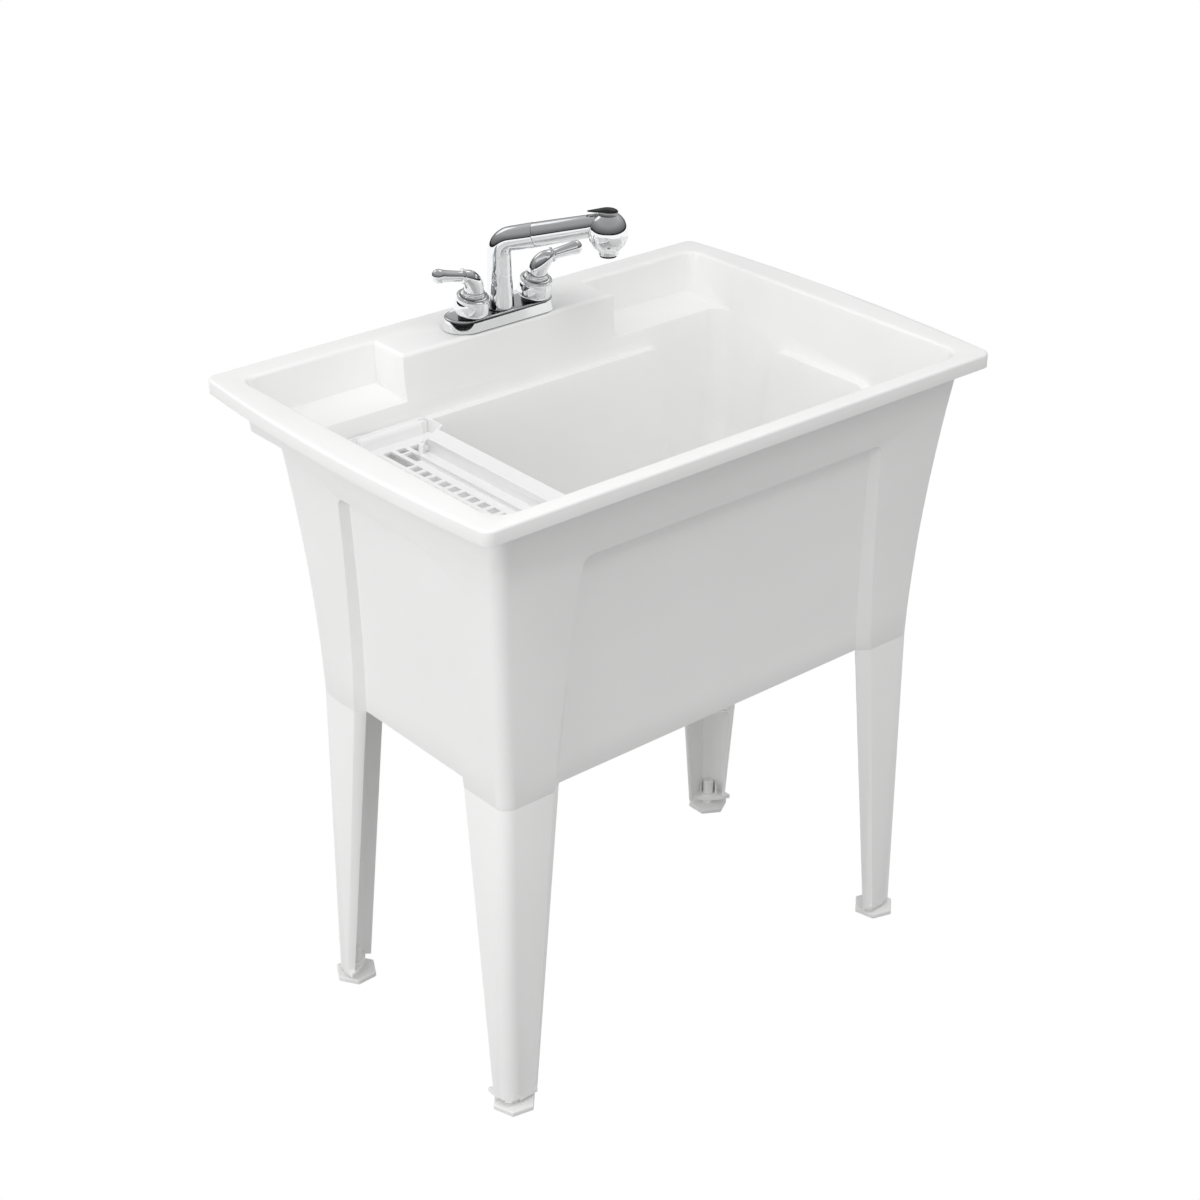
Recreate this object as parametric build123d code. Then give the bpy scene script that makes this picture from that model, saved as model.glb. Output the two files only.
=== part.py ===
from build123d import *
import math
import os

# Utility laundry sink: one-piece tub on four tapered legs, lift-out tray, drain and
# a two-handle faucet with a pull-out spray wand.
# Millimetres. +Z up, user side at -Y, faucet at +Y, z = 0 on the floor,
# x = y = 0 under the middle of the rim.

# ---- rim ----
rim_top = 841.5
rim_edge = 18.0
rim_depth = 558.8
rim_end_width = 787.6
rim_bow = 14.7
rim_corner_radius = 16.0
rim_round = 3.5
rim_inner_round = 5.0
rim_flange_side = 26.5
rim_flange_front = 21.3
rim_flange_back = 31.4

# ---- tub body: flared skirt with four corner columns ----
wall = 5.0
seam_z = 444.0
back_setback = 91.6
flare_side = 27.6
flare_front = 32.0
flare_back = 36.0
flare_linear = 0.24
flare_power = 1.89
body_corner_radius = 18.0
bowl_corner_radius = 28.0

# ---- recessed panels between the columns ----
panel_depth = 12.0
panel_drop = 90.5
panel_corner_radius = 13.0
end_column_low = 73.7
end_column_high = 102.7
front_column_low = 76.7
front_column_high = 107.6
back_column_low = 75.2
back_column_high = 96.3
end_draft_low = 55.0
end_draft_high = 32.0
side_draft_low = 37.0
side_draft_high = 20.0

# ---- bowl floor ----
bowl_depth = 341.5
floor_thickness = 6.0
floor_round = 26.0
floor_fall = 5.0
fall_radius = 150.0
bowl_draft = 9.0

# ---- soap shelves and faucet deck at the back ----
shelf_depth = 60.5
shelf_rise = 6.0
deck_half_width = 170.0
deck_depth = 98.4

# ---- clearances ----
fit = 0.3
thread_fit = 0.1
running_fit = 0.06

# ---- drain ----
drain_hole_radius = 43.0
drain_flange_radius = 54.0
drain_flange_thickness = 2.5
drain_body_radius = 40.0
drain_wall = 2.5
drain_depth = 46.0
drain_outlet_radius = 21.0
drain_outlet_wall = 2.2
drain_outlet_length = 17.0
drain_gasket_thickness = 3.0
drain_ring_thickness = 1.2
drain_nut_height = 9.0
drain_nut_radius = 52.0
tailpiece_radius = 19.05
tailpiece_wall = 1.6
tailpiece_flange = 1.8
tailpiece_end = 352.0
groove_width = 2.5
groove_depth = 0.5
slip_washer_thickness = 2.5
slip_nut_radius = 28.0
slip_nut_wall = 2.5
slip_nut_grip = 12.0
basket_radius = 34.0
basket_wall = 1.5
basket_depth = 26.0
basket_rim_radius = 44.0
basket_hole_radius = 2.6
knob_radius = 8.0
knob_height = 12.0
plug_radius = 26.0
plug_thickness = 4.0

# ---- legs ----
seam_gap = 0.3
leg_bottom = 14.0
leg_splay = 4.9
leg_face_bottom_x = 42.0
leg_face_bottom_y = 29.0
leg_return_bottom = 7.5
leg_wall = 3.6
leg_inner_band = 20.0
leg_web = 6.0
leg_web_reach_x = 47.0
leg_web_reach_y = 40.0
leg_cap_thickness = 5.0
leg_tongue = 34.0
leg_tongue_length_x = 52.0
leg_tongue_length_y = 54.0
leg_boss_radius = 10.5
leg_boss_height = 2.0
leg_niche_radius = 10.5
leg_niche_wall = 2.4
leg_niche_height = 22.0
leg_notch_near = 9.0
leg_notch_far = 20.0
leg_notch_height = 3.0
leg_web_bulge = 7.0
leg_rib_height = 165.0
leg_rib_thickness = 3.0
leg_screw_inset = 38.0
leg_screw_radius = 3.0
leg_screw_length = 26.0
leg_screw_head_radius = 6.5
leg_screw_head_height = 3.6
screw_boss_radius = 8.0

# ---- levelling feet ----
foot_inset_x = 22.4
foot_inset_y = 15.9
foot_plate_radius = 28.7
foot_plate_thickness = 7.0
foot_stud_radius = 7.4
foot_stud_top = 43.0
foot_bevel = 1.2
foot_turns = {"front_left": 48.4, "front_right": 42.7, "back_left": 62.0, "back_right": 30.3}

# ---- lift-out tray ----
tray_wall = 3.0
tray_depth = 20.0
tray_gap = 0.8
tray_corner_radius = 30.0
tray_reach = 177.7
tray_lobe = 12.0
tray_lobe_setback = 20.8
tray_band = 23.5
tray_band_lip = 7.0
tray_ridge_inset = 43.0
tray_ridge_width = 7.0
tray_ridge_height = 6.0
tray_ridge_setback = 54.8
tray_partition_setback = 28.8
tray_partition_wall = 2.5
tray_hump_length = 94.0
tray_hump_round = 6.0
tray_hump_overlap = 10.0
tray_pitch = 19.0
tray_hole = 12.5
tray_long_slot = 50.0
tray_short_slot = 27.0
tray_hole_inset = 68.5
tray_row_setback = 75.2
tray_slot_setback = 13.8
lobe_hole_inset = 7.0

# ---- faucet ----
faucet_setback = 74.4
valve_spacing = 101.6
valve_lead = 4.0
handle_tilt = 13.0
gasket_thickness = 1.2
base_length = 168.2
base_width = 56.0
base_setback = 3.6
base_height = 15.8
base_draft = 12.0
base_wall = 3.0
dish_depth = 0.8
shank_radius = 10.48
shank_bore = 6.5
shank_length = 62.0
deck_hole_radius = 13.0
shank_nut_radius = 17.0
shank_nut_height = 8.0
bell_foot_radius = 16.0
bell_foot_height = 7.0
bell_radius = 23.0
bell_top_radius = 20.2
bell_height = 22.0
bell_wall = 2.0
cap_height = 8.0
bonnet_radius = 12.0
bonnet_height = 20.0
stem_radius = 4.0
stem_engagement = 12.0
horn_radius = 12.6
horn_height = 23.5
collar_reach = 19.0
collar_radius = 9.6
collar_thickness = 2.2
lever_length = 40.0
lever_root_radius = 6.4
lever_tip_radius = 7.4
lever_ball_radius = 8.8
lever_rise = 9.0
left_handle_heading = 170.5
right_handle_heading = -9.0

# ---- spout and spray wand ----
spout_heading = -55.0
spout_rise = 13.7
knee_height = 87.5
spout_bend = 22.0
spout_radius = 15.75
spout_bore = 12.0
spout_foot_radius = 18.2
spout_foot_height = 46.0
post_height = 42.0
post_bore = 8.0
wand_start = 49.1
wand_seam = 0.4
wand_end = 124.0
wand_tip_radius = 14.2
wand_plug_length = 30.0
wand_bore = 7.0
head_reach = 144.1
head_drop = 11.5
head_radius = 25.4
head_stretch = 1.07
head_cavity_radius = 17.0
spray_radius = 12.6
spray_plate_thickness = 3.0
spray_length = 31.5
nozzle_radius = 1.1
button_radius = 13.0
button_crown = 31.8
button_underside = 25.0
button_tail = 27.0
button_tail_width = 9.0
button_travel = 2.0
button_gap = 0.5


# ---- places that follow from the sizes above ----
body_half_width = rim_end_width / 2 - rim_flange_side - flare_side
body_front = rim_depth / 2 - rim_flange_front - flare_front
body_back = rim_depth / 2 - back_setback - flare_back
end_panel_low = body_half_width - end_column_low
end_panel_high = body_half_width - end_column_high
side_panel_low = (body_front - front_column_low + body_back - back_column_low) / 2
side_panel_high = (body_front - front_column_high + body_back - back_column_high) / 2
side_panel_centre_low = (body_back - back_column_low - body_front + front_column_low) / 2
side_panel_centre_high = (body_back - back_column_high - body_front + front_column_high) / 2
panel_top = rim_top - panel_drop
floor_top = rim_top - bowl_depth
floor_low = floor_top - floor_fall
floor_under = floor_top - floor_thickness
shelf_floor = rim_top - shelf_depth
shelf_back = rim_depth / 2 - rim_flange_back - wall
deck_front = rim_depth / 2 - deck_depth
faucet_y = rim_depth / 2 - faucet_setback
valve_y = faucet_y - valve_lead
base_y = faucet_y + base_setback
drain_y = (body_back - body_front) / 2
base_top = rim_top + gasket_thickness + base_height
spout_knee = base_top + knee_height
tray_right = tray_reach - body_half_width


def blend(low, high, share):
    return low + (high - low) * share


def tube(outer, inner, low, high, x=0.0, y=0.0):
    """Upright tube between two heights."""
    ring = Circle(outer) - Circle(inner)
    return Pos(x, y, low) * extrude(ring, high - low)


def rod(radius, low, high, x=0.0, y=0.0):
    """Upright round bar between two heights."""
    return Pos(x, y, low) * extrude(Circle(radius), high - low)


def block(x0, x1, y0, y1, z0, z1):
    return Pos((x0 + x1) / 2, (y0 + y1) / 2, (z0 + z1) / 2) * Box(x1 - x0, y1 - y0, z1 - z0)


# ======== tub ========

def flare(z):
    """Share of the full flare at height z: 0 at the seam, 1 under the rim."""
    t = (z - seam_z) / (rim_top - rim_edge - seam_z)
    return flare_linear * t + (1 - flare_linear) * max(t, 0.0) ** flare_power


def half_width(z):
    return body_half_width + flare_side * flare(z)


def front_reach(z):
    return body_front + flare_front * flare(z)


def back_reach(z):
    return body_back + flare_back * flare(z)


def body_section(z, inset, radius, back=None):
    """Rounded rectangle of the flared body at height z, drawn in by inset."""
    back_edge = (back_reach(z) if back is None else back) - inset
    front_edge = -front_reach(z) + inset
    section = RectangleRounded(2 * (half_width(z) - inset), back_edge - front_edge, radius)
    return Pos(0, (back_edge + front_edge) / 2, z) * section


def body_envelope(low, high, inset, radius, back=None):
    """The flared body as one smooth solid from low to high."""
    steps = 5
    levels = [blend(low, high, i / (steps - 1)) for i in range(steps)]
    return loft([body_section(z, inset, radius, back) for z in levels])


def panel_cutter(x_dir, out_dir, surface, centre, half, draft, grow):
    """Block whose sloping sides meet the flared surface along the panel's edges."""
    low_z = seam_z - 30.0
    top_z = panel_top + grow
    levels = (low_z, (low_z + top_z) / 2, top_z)
    faces = []
    for reach in (surface(rim_top) + 25.0, surface(seam_z) - panel_depth - wall - 40.0):
        left = []
        right = []
        for z in levels:
            share = (z - seam_z) / (panel_top - seam_z)
            slope = math.tan(math.radians(blend(draft[0], draft[1], share)))
            spread = blend(half[0], half[1], share) + (reach - surface(z)) * slope + grow
            middle = blend(centre[0], centre[1], share)
            left.append((middle - spread, z))
            right.append((middle + spread, z))
        edges = [
            Line(left[0], right[0]),
            ThreePointArc(*right),
            Line(right[2], left[2]),
            ThreePointArc(*left),
        ]
        outline = make_face(edges)
        corners = outline.vertices().sort_by(Axis.Y)[-2:]
        outline = fillet(corners, panel_corner_radius + grow)
        plane = Plane(origin=Vector(*out_dir) * reach, x_dir=x_dir, z_dir=out_dir)
        faces.append(plane * outline)
    return loft(faces, ruled=True)


def panel_cutters(grow):
    """The four panel blocks: front, back, left and right."""
    end_half = (end_panel_low, end_panel_high)
    end_draft = (end_draft_low, end_draft_high)
    side_half = (side_panel_low, side_panel_high)
    side_draft = (side_draft_low, side_draft_high)
    on_left = (-side_panel_centre_low, -side_panel_centre_high)
    on_right = (side_panel_centre_low, side_panel_centre_high)
    return [
        panel_cutter((1, 0, 0), (0, -1, 0), front_reach, (0, 0), end_half, end_draft, grow),
        panel_cutter((-1, 0, 0), (0, 1, 0), back_reach, (0, 0), end_half, end_draft, grow),
        panel_cutter((0, -1, 0), (-1, 0, 0), half_width, on_left, side_half, side_draft, grow),
        panel_cutter((0, 1, 0), (1, 0, 0), half_width, on_right, side_half, side_draft, grow),
    ]


def rim_outline(inset):
    """Plan of the rim: straight front and back, bowed sides, rounded corners."""
    x = rim_end_width / 2 - inset
    y = rim_depth / 2 - inset
    bow = rim_end_width / 2 + rim_bow - inset
    edges = [
        Line((-x, -y), (x, -y)),
        ThreePointArc((x, -y), (bow, 0), (x, y)),
        Line((x, y), (-x, y)),
        ThreePointArc((-x, y), (-bow, 0), (-x, -y)),
    ]
    plan = make_face(edges)
    return fillet(plan.vertices(), rim_corner_radius - inset / 2)


def fall_cone(drop):
    """Shallow dish that lets the floor fall to the drain."""
    cone = Cone(drain_flange_radius + 1 + drop, fall_radius + drop, floor_fall)
    return Pos(0, drain_y, floor_top - drop - floor_fall / 2) * cone


def tub_outside():
    lip_bottom = rim_top - rim_edge
    back_outer = shelf_back + wall
    body = body_envelope(seam_z, lip_bottom, 0, body_corner_radius)
    shelf_low = shelf_floor - wall
    shelf_box = body_envelope(shelf_low, rim_top - wall, 0, body_corner_radius, back_outer)
    slab = Pos(0, 0, lip_bottom) * extrude(rim_outline(0), rim_edge)
    slab = fillet(slab.faces().sort_by(Axis.Z)[-1].edges(), rim_round)
    under = Pos(0, 0, lip_bottom) * extrude(rim_outline(wall), rim_edge - wall)
    under = under - body_envelope(lip_bottom - 5, rim_top, 0, body_corner_radius, back_outer)
    outside = body + shelf_box + slab - under
    recess_floor = body_envelope(seam_z - 40, rim_top + 20, panel_depth, body_corner_radius)
    for cutter in panel_cutters(0):
        outside = outside - (cutter - recess_floor)
    return outside


def tub_inside():
    """Inner face of the walls: follows the outside at one wall thickness."""
    inner = body_envelope(seam_z - 40, rim_top + 20, wall, bowl_corner_radius)
    for cutter in panel_cutters(wall):
        inner = inner - cutter
    core = body_envelope(seam_z - 40, rim_top + 20, panel_depth + wall, bowl_corner_radius)
    return inner + core


def shelf_pocket(side):
    """Open pocket over one soap shelf, its floor falling towards the bowl."""
    top = rim_top + 10
    back_outer = shelf_back + wall
    space = body_envelope(seam_z - 40, rim_top + 20, wall, body_corner_radius, back_outer)
    front = back_reach(shelf_floor) - bowl_corner_radius - 20
    far = side * half_width(top)
    near = side * deck_half_width
    reach = block(min(near, far), max(near, far), front, shelf_back + 1, shelf_floor - 9, top)
    lip = back_reach(shelf_floor) - wall
    fall = Polyline(
        (front - 1, shelf_floor),
        (lip, shelf_floor),
        (shelf_back + 10, shelf_floor + shelf_rise),
        (shelf_back + 10, shelf_floor - 20),
        (front - 1, shelf_floor - 20),
        close=True,
    )
    below = extrude(Plane.YZ * make_face(fall), 2 * half_width(top), both=True)
    return (space & reach) - below


def round_openings(tub):
    """Round the rim's inner edge, all along the bowl, the shelves and the deck."""
    level = tub.edges().filter_by_position(Axis.Z, rim_top - 0.01, rim_top + 0.01)
    inner_x = half_width(rim_top)
    inner_y = rim_depth / 2 - rim_flange_front / 2
    inner = level.filter_by(lambda edge: abs(edge.center().X) < inner_x and abs(edge.center().Y) < inner_y)
    return fillet(inner, rim_inner_round)


def make_tub():
    shelf_low = shelf_floor - wall
    tub = tub_outside()
    inner = tub_inside()

    # hollow skirt under the bowl floor
    skirt_space = block(-500, 500, -400, 400, seam_z - 20, floor_under)
    tub = tub - ((inner & skirt_space) - fall_cone(floor_thickness))

    # hollow under the deck
    hollow = block(-deck_half_width + wall, deck_half_width - wall,
                   body_back, shelf_back, shelf_low - 20, rim_top - wall)
    back_wall = body_envelope(seam_z, rim_top, 0, body_corner_radius)
    back_wall = back_wall & block(-500, 500, -400, deck_front + wall, seam_z, rim_top)
    tub = tub - (hollow - back_wall)

    # bowl with drafted lower walls and a rounded floor, and the two shelf pockets
    mould_height = rim_top + 10 - floor_top
    low_section = body_section(floor_top, panel_depth + wall, bowl_corner_radius)
    spread = mould_height * math.tan(math.radians(bowl_draft))
    box = low_section.bounding_box()
    high_section = RectangleRounded(box.size.X + 2 * spread, box.size.Y + 2 * spread, bowl_corner_radius)
    high_section = Pos(0, box.center().Y, floor_top + mould_height) * high_section
    mould = loft([low_section, high_section])
    mould = fillet(mould.faces().sort_by(Axis.Z)[0].edges(), floor_round)
    bowl = (inner & mould) + fall_cone(0)
    deck = block(-deck_half_width, deck_half_width, deck_front, 400, shelf_floor, rim_top + 20)
    space = (bowl - deck) + shelf_pocket(-1) + shelf_pocket(1)
    tub = tub - space
    tub = round_openings(tub)

    # bosses for the leg screws under the floor
    for side in (-1, 1):
        for end in (-1, 1):
            x, y = leg_screw_place(side, end)
            tub = tub + rod(screw_boss_radius, seam_z, floor_under + 1, x, y)
            bore_top = seam_z + leg_screw_length + 2
            tub = tub - rod(leg_screw_radius + thread_fit, seam_z - 1, bore_top, x, y)

    # drain hole and faucet holes
    tub = tub - rod(drain_hole_radius, floor_under - 20, floor_top + 20, 0, drain_y)
    for side in (-1, 1):
        x = side * valve_spacing / 2
        tub = tub - rod(deck_hole_radius, rim_top - 20, rim_top + 20, x, valve_y)
    return tub


# ======== legs and feet ========

leg_top = seam_z - seam_gap


def leg_corner(side, end, z):
    drop = (leg_top - z) / (leg_top - leg_bottom)
    x = body_half_width + leg_splay * drop
    y = body_back if end > 0 else body_front
    return side * x, end * y


def leg_screw_place(side, end):
    x, y = leg_corner(side, end, leg_top)
    return x - side * leg_screw_inset, y - end * leg_screw_inset


def leg_profile(side, end, z):
    """Sizes of the L-shaped leg section at height z."""
    drop = (leg_top - z) / (leg_top - leg_bottom)
    column_y = back_column_low if end > 0 else front_column_low
    face_x = blend(end_column_low, leg_face_bottom_x, drop)
    face_y = blend(column_y, leg_face_bottom_y, drop)
    depth = blend(panel_depth, leg_return_bottom, drop)
    run_x = depth * math.tan(math.radians(end_draft_low))
    run_y = depth * math.tan(math.radians(side_draft_low))
    return face_x, face_y, depth, run_x, run_y


def placed_face(side, end, z, points, corner_index, corner_radius):
    """Plan outline given as distances inwards from the leg's outer corner."""
    cx, cy = leg_corner(side, end, z)
    plan = [(cx - side * u, cy - end * v) for u, v in points]
    outline = make_face(Polyline(*plan, close=True))
    corner = Vector(*plan[corner_index])
    vertex = outline.vertices().sort_by_distance(corner)[0]
    return Pos(0, 0, z) * fillet(vertex, corner_radius)


def return_points(face, run, depth):
    """End of the return facet, and its inner edge one wall away."""
    length = math.hypot(run, depth)
    tip = (face + run, depth)
    tip_in = (tip[0] - leg_wall * depth / length, tip[1] + leg_wall * run / length)
    bend = face - leg_wall * depth / length + run * leg_wall / depth * (1 - run / length)
    return tip, tip_in, bend


def leg_section(side, end, z):
    face_x, face_y, depth, run_x, run_y = leg_profile(side, end, z)
    tip_x, tip_x_in, bend_x = return_points(face_x, run_x, depth)
    tip_y, tip_y_in, bend_y = return_points(face_y, run_y, depth)
    band = leg_wall + leg_inner_band
    points = [
        tip_x,
        (face_x, 0),
        (0, 0),
        (0, face_y),
        (tip_y[1], tip_y[0]),
        (tip_y_in[1], tip_y_in[0]),
        (leg_wall, bend_y),
        (leg_wall, band),
        (band, leg_wall),
        (bend_x, leg_wall),
        tip_x_in,
    ]
    return placed_face(side, end, z, points, 2, body_corner_radius)


def web_face(side, end, z):
    """Plan of the web between the two free edges of the leg."""
    cx, cy = leg_corner(side, end, z)
    chord = math.hypot(leg_web_reach_x, leg_web_reach_y)
    bow_x = leg_web_reach_x / 2 + leg_web_bulge * leg_web_reach_y / chord
    bow_y = leg_web_reach_y / 2 + leg_web_bulge * leg_web_reach_x / chord
    points = [(leg_web_reach_x, 0), (0, 0), (0, leg_web_reach_y), (bow_x, bow_y)]
    first, corner, last, bow = [(cx - side * u, cy - end * v) for u, v in points]
    plan = make_face([Line(first, corner), Line(corner, last), ThreePointArc(last, bow, first)])
    vertex = plan.vertices().sort_by_distance(Vector(*corner))[0]
    return Pos(0, 0, z) * fillet(vertex, body_corner_radius)


def leg_niche(side, end):
    """Half-round wall behind the stud, arched at its top."""
    x, y = foot_place(side, end)
    low = leg_bottom + leg_web - 0.5
    outer = leg_niche_radius + leg_niche_wall
    shell = tube(outer, leg_niche_radius, low, low + leg_niche_height + outer, x, y)
    heading = Vector(side * foot_inset_x, end * foot_inset_y, 0).normalized()
    across = Plane(origin=(x, y, low), x_dir=(-heading.Y, heading.X, 0), z_dir=heading)
    spring = leg_niche_height - outer
    arch = Rectangle(2 * outer, 2 * spring) + Pos(0, spring) * Circle(outer)
    return shell & extrude(across * arch, 2 * outer)


def make_leg(side, end):
    leg = loft([leg_section(side, end, leg_top), leg_section(side, end, leg_bottom)], ruled=True)

    # cap plate across the corner at the top
    cap_faces = []
    for z in (leg_top, leg_top - leg_cap_thickness):
        face_x, face_y, depth, run_x, run_y = leg_profile(side, end, z)
        cap_points = [
            (face_x + run_x, depth),
            (face_x, 0),
            (0, 0),
            (0, face_y),
            (depth, face_y + run_y),
        ]
        cap_faces.append(placed_face(side, end, z, cap_points, 2, body_corner_radius))
    leg = leg + loft(cap_faces, ruled=True)

    # tongue that stands inside the hollow column of the tub
    inset = wall + fit
    tongue_top = leg_top + leg_tongue
    outer = body_envelope(leg_top - 1, tongue_top, inset, bowl_corner_radius - fit)
    inner = body_envelope(leg_top - 2, tongue_top + 1, inset + leg_wall, bowl_corner_radius - fit - leg_wall)
    cx, cy = leg_corner(side, end, leg_top)
    x_in = cx - side * (wall + leg_tongue_length_x)
    y_in = cy - end * (wall + leg_tongue_length_y)
    corner = block(min(cx, x_in), max(cx, x_in), min(cy, y_in), max(cy, y_in), leg_top - 1, tongue_top)
    cut = block(min(cx, x_in) - 20, max(cx, x_in) + 20, min(cy, y_in) - 20, max(cy, y_in) + 20,
                leg_top - 1, tongue_top)
    leg = leg + ((outer - inner) & corner & cut)

    # web at the foot of the leg, with a bowed free edge
    leg = leg + loft([web_face(side, end, z) for z in (leg_bottom, leg_bottom + leg_web)], ruled=True)

    # thin rib across the corner
    rib_faces = []
    for z in (leg_rib_height, leg_rib_height + leg_rib_thickness):
        face_x, face_y, depth, run_x, run_y = leg_profile(side, end, z)
        rib_points = [(face_x - leg_wall, 0), (0, 0), (0, face_y - leg_wall)]
        rib_faces.append(placed_face(side, end, z, rib_points, 1, body_corner_radius))
    leg = leg + loft(rib_faces, ruled=True)

    # boss that carries the thread of the foot, and the arched niche behind the stud
    x, y = foot_place(side, end)
    leg = leg + rod(leg_boss_radius, leg_bottom, leg_bottom + leg_web + leg_boss_height, x, y)
    leg = leg + leg_niche(side, end)
    leg = leg - rod(foot_stud_radius + running_fit, leg_bottom - 1, leg_bottom + leg_rib_height / 2, x, y)

    # screw hole and bottom notches
    sx, sy = leg_screw_place(side, end)
    leg = leg - rod(leg_screw_radius + fit, leg_top - 20, leg_top + 1, sx, sy)
    cx, cy = leg_corner(side, end, leg_bottom)
    for u0, u1, v0, v1 in ((leg_notch_near, leg_notch_far, -2, leg_wall + 1),
                           (-2, leg_wall + 1, leg_notch_near, leg_notch_far)):
        xs = sorted((cx - side * u0, cx - side * u1))
        ys = sorted((cy - end * v0, cy - end * v1))
        notch_top = leg_bottom + leg_notch_height
        leg = leg - block(xs[0], xs[1], ys[0], ys[1], leg_bottom - 1, notch_top)
    return leg


def foot_place(side, end):
    x, y = leg_corner(side, end, leg_bottom)
    return x - side * foot_inset_x, y - end * foot_inset_y


def make_foot(side, end, turn):
    x, y = foot_place(side, end)
    hexagon = Rot(0, 0, turn) * RegularPolygon(foot_plate_radius, 6)
    plate = extrude(hexagon, foot_plate_thickness)
    plate = chamfer(plate.faces().sort_by(Axis.Z)[-1].edges(), foot_bevel)
    stud = rod(foot_stud_radius, foot_plate_thickness - 1, foot_stud_top)
    stud = chamfer(stud.faces().sort_by(Axis.Z)[-1].edges(), foot_bevel)
    return Pos(x, y, 0) * (plate + stud)


def make_leg_screws():
    screws = []
    for side in (-1, 1):
        for end in (-1, 1):
            x, y = leg_screw_place(side, end)
            under = leg_top - leg_cap_thickness
            shank = rod(leg_screw_radius, under - 0.5, under + leg_cap_thickness + leg_screw_length, x, y)
            head_disc = rod(leg_screw_head_radius, under - leg_screw_head_height, under, x, y)
            cross = block(x - 2.8, x + 2.8, y - 0.6, y + 0.6, under - 5, under - 1.6)
            cross = cross + block(x - 0.6, x + 0.6, y - 2.8, y + 2.8, under - 5, under - 1.6)
            screws.append(shank + head_disc - cross)
    return Compound(children=screws)


# ======== drain ========

def make_drain():
    """Strainer body, its rubber and card rings, lock nut, tailpiece, washer and slip nut."""
    y = drain_y
    flange_top = floor_low + drain_flange_thickness
    cup_bottom = flange_top - drain_depth
    outlet_end = cup_bottom - drain_outlet_length
    cup_bore = drain_body_radius - drain_wall
    outlet_bore = drain_outlet_radius - drain_outlet_wall
    body = tube(drain_flange_radius, cup_bore, floor_low, flange_top, 0, y)
    body = body + tube(drain_body_radius, cup_bore, cup_bottom, floor_low + 0.5, 0, y)
    body = body + tube(drain_body_radius, outlet_bore, cup_bottom, cup_bottom + drain_wall, 0, y)
    body = body + tube(drain_outlet_radius, outlet_bore, outlet_end, cup_bottom + 0.5, 0, y)

    under = floor_low - floor_thickness
    ring_low = under - drain_gasket_thickness
    card_low = ring_low - drain_ring_thickness
    nut_low = card_low - drain_nut_height
    bore = drain_body_radius + fit
    gasket = tube(drain_nut_radius, bore, ring_low, under, 0, y)
    card = tube(drain_nut_radius, bore, card_low, ring_low, 0, y)
    nut = tube(drain_nut_radius - 2, drain_body_radius + thread_fit, nut_low, card_low, 0, y)
    for i in range(6):
        angle = math.radians(60 * i)
        x_lug = (drain_nut_radius - 2) * math.cos(angle)
        y_lug = (drain_nut_radius - 2) * math.sin(angle)
        lug = rod(5, nut_low, card_low, x_lug, y + y_lug)
        nut = nut + (lug - rod(drain_body_radius + 2, nut_low - 1, card_low + 1, 0, y))

    washer_low = outlet_end - slip_washer_thickness
    tail_bore = tailpiece_radius - tailpiece_wall
    washer = tube(drain_outlet_radius, tail_bore, washer_low, outlet_end, 0, y)
    tail = tube(drain_outlet_radius, tail_bore, washer_low - tailpiece_flange, washer_low, 0, y)
    tail = tail + tube(tailpiece_radius, tail_bore, tailpiece_end, washer_low - 0.5, 0, y)

    seat = washer_low - tailpiece_flange
    mark_top = seat - slip_nut_wall
    groove_low = mark_top - groove_width
    tail = tail - tube(tailpiece_radius + 1, tailpiece_radius - groove_depth, groove_low, mark_top, 0, y)
    nut_bore = drain_outlet_radius + thread_fit
    nut_outer = RegularPolygon(slip_nut_radius, 6) - Circle(nut_bore)
    slip = Pos(0, y, seat) * extrude(nut_outer, outlet_end + slip_nut_grip - seat)
    slip = slip + tube(slip_nut_radius - 4, tailpiece_radius + fit, seat - slip_nut_wall, seat, 0, y)
    return body, gasket, card, nut, washer, tail, slip


def make_basket():
    """Lift-out basket with its pull knob, and the rubber plug under it."""
    y = drain_y
    flange_top = floor_low + drain_flange_thickness
    floor_z = flange_top - basket_depth
    rim_high = flange_top + basket_wall
    bore = basket_radius - basket_wall
    basket = tube(basket_rim_radius, bore, flange_top, rim_high, 0, y)
    basket = basket + tube(basket_radius, bore, floor_z, flange_top + 0.5, 0, y)
    basket = basket + rod(basket_radius, floor_z, floor_z + basket_wall, 0, y)
    basket = basket + rod(knob_radius / 2, floor_z, rim_high, 0, y)
    knob = rod(knob_radius, rim_high - 2, rim_high - 2 + knob_height, 0, y)
    knob = fillet(knob.edges().sort_by(Axis.Z)[-1], knob_radius / 3)
    basket = basket + knob
    holes = []
    for count, radius in ((10, 14.0), (16, 22.0), (20, 29.0)):
        for i in range(count):
            angle = 2 * math.pi * i / count
            x_hole = radius * math.cos(angle)
            y_hole = y + radius * math.sin(angle)
            holes.append(rod(basket_hole_radius * radius / 29.0, floor_z - 1, floor_z + 3, x_hole, y_hole))
    basket = basket - holes
    plug = rod(plug_radius, floor_z - plug_thickness, floor_z, 0, y)
    plug = chamfer(plug.edges().sort_by(Axis.Z)[0], plug_thickness / 2)
    return basket, plug


# ======== lift-out tray ========

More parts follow.
